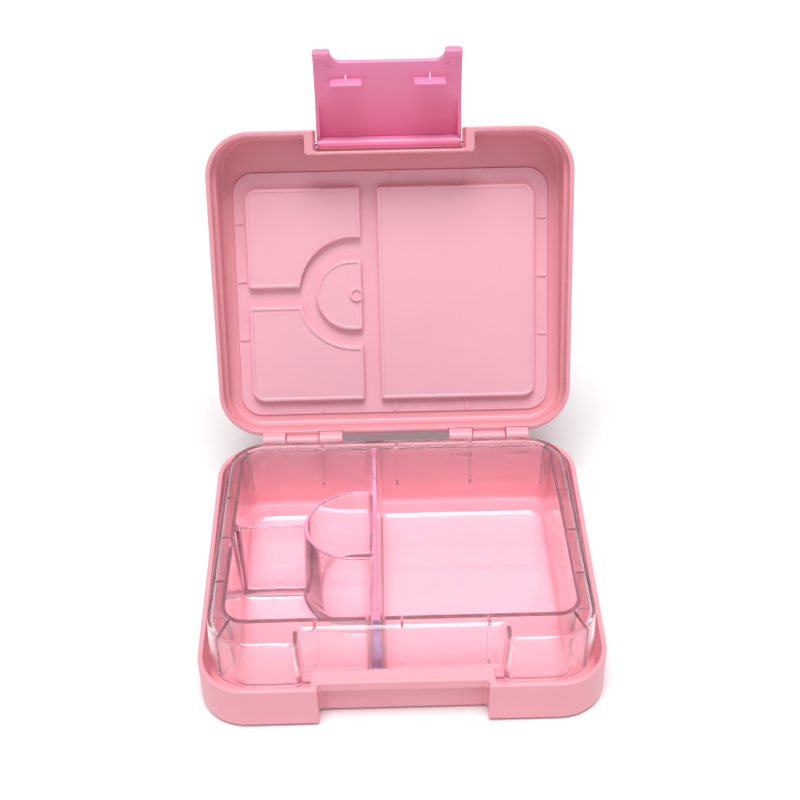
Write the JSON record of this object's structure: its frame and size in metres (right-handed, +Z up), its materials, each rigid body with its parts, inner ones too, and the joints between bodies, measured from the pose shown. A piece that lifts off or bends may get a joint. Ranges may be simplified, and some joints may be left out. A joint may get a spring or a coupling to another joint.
{
  "type": "bento lunch box",
  "caption": "Hinged bento lunch box with a wedge-shaped base, clear divided lift-out tray, silicone lid seal and swinging front latch, shown open.",
  "frame": {"origin": "middle of the base's flat underside, half way between its front and back faces and its sides", "axes": "+X to the right seen from the latch side, +Y from the latch side to the hinge side, +Z up"},
  "size_m": [0.176, 0.2283, 0.2185],
  "materials": {
    "shell_plastic": "satin moulded pink plastic with a very fine texture",
    "latch_plastic": "glossy moulded hot pink plastic",
    "seal_silicone": "soft matt translucent pink silicone",
    "clear_tray": "polished clear plastic with a faint violet tint at its edges",
    "steel_pin": "drawn steel rod"
  },
  "bodies": {
    "base": {"base_shell": "shell_plastic", "hinge_pin_left": "steel_pin", "hinge_pin_right": "steel_pin"},
    "lid": {"lid_shell": "shell_plastic", "lid_seal": "seal_silicone", "latch_pin": "steel_pin"},
    "latch": {"latch": "latch_plastic"},
    "tray": {"food_tray": "clear_tray"}
  },
  "joints": [
    {"name": "lid_hinge", "type": "hinge", "parent": "base", "child": "lid", "pos_m": [0, 0.0785, 0.038], "axis": [1, 0, 0], "range_deg": [0, 112.7]},
    {"name": "latch_pivot", "type": "hinge", "parent": "lid", "child": "latch", "pos_m": [0, 0.14505, 0.16961], "axis": [1, 0, 0], "range_deg": [-25, 56]},
    {"name": "tray_lift", "type": "slide", "parent": "base", "child": "tray", "axis": [0, 0, 1], "range_m": [0, 0.06]}
  ]
}
